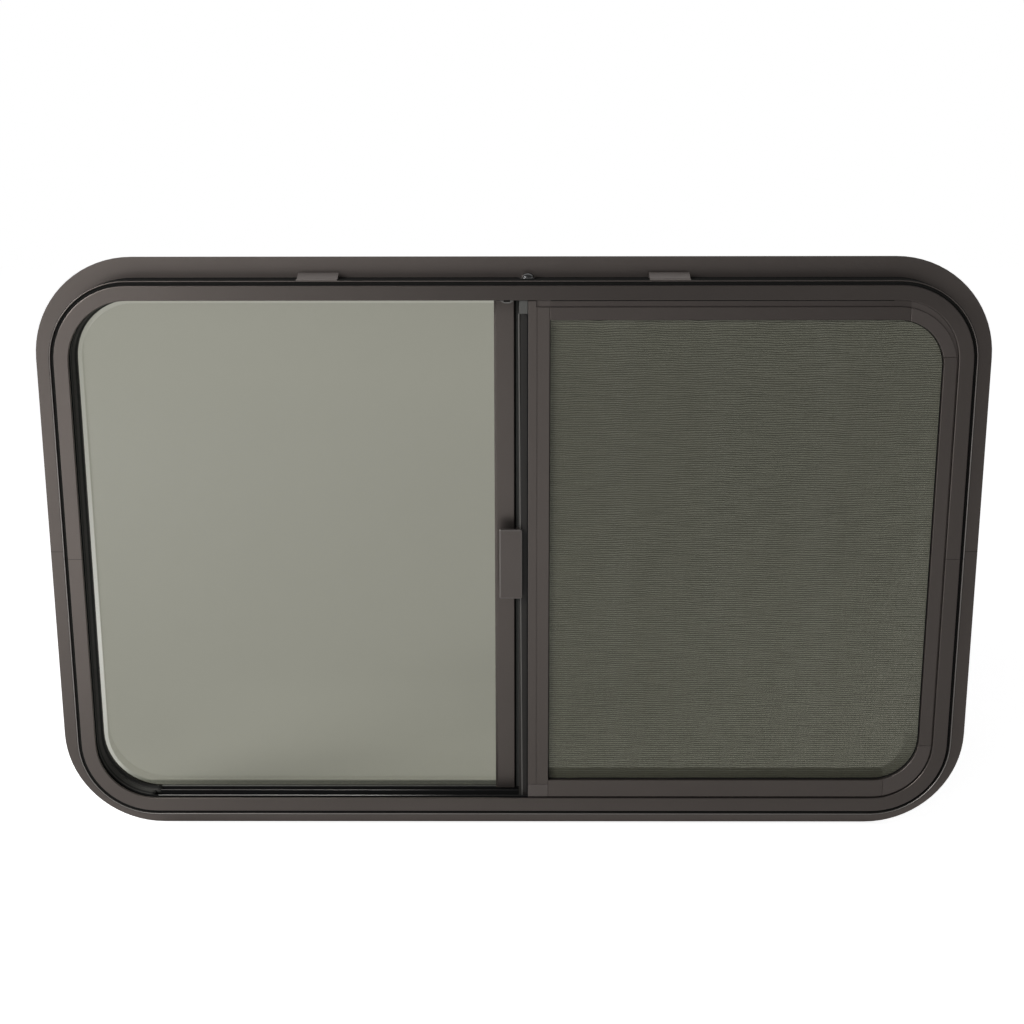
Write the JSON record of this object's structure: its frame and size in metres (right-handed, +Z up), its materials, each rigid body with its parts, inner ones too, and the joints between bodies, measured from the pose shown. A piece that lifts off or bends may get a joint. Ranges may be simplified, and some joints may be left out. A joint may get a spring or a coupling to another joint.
{
  "type": "caravan sliding window",
  "caption": "Caravan window in a flanged bronze frame with rounded corners: a fixed pane, a pane that slides on a track behind an insect screen, and a flat pull.",
  "frame": {"origin": "middle of the lower strip of the flange, on the face that bears on the wall, at mid-width", "axes": "+X to the right seen from the room, +Y to the outside, +Z up"},
  "size_m": [0.965, 0.0345, 0.61],
  "materials": {
    "bronze": "satin",
    "liner": "matt",
    "filler": "matt",
    "rail": "satin",
    "pile": "matt",
    "glass": "gloss",
    "mesh": "matt",
    "moulding": "satin",
    "grey_block": "satin",
    "spring": "satin",
    "screw": "satin"
  },
  "bodies": {
    "frame": {"centre_post": "bronze", "fixed_glass": "glass", "frame_screw": "screw", "insect_mesh": "mesh", "left_clip": "spring", "lower_filler": "filler", "lower_frame": "bronze", "lower_track": "liner", "post_clip": "moulding", "post_seal": "pile", "right_clip": "spring", "screen_block": "moulding", "screen_bottom_rail": "bronze", "screen_lower_corner": "moulding", "screen_side_rail": "bronze", "screen_stile": "bronze", "screen_stop": "grey_block", "screen_top_rail": "bronze", "screen_upper_corner": "moulding", "upper_filler": "filler", "upper_frame": "bronze", "upper_track": "liner"},
    "sash": {"left_glide": "liner", "right_glide": "liner", "sash_bottom_rail": "rail", "sash_glass": "glass", "sash_pull": "moulding", "sash_stile": "rail", "sash_top_rail": "rail"}
  },
  "joints": [
    {"name": "sash_slide", "type": "slide", "parent": "frame", "child": "sash", "axis": [-1, 0, 0], "range_m": [0, 0.36]}
  ]
}
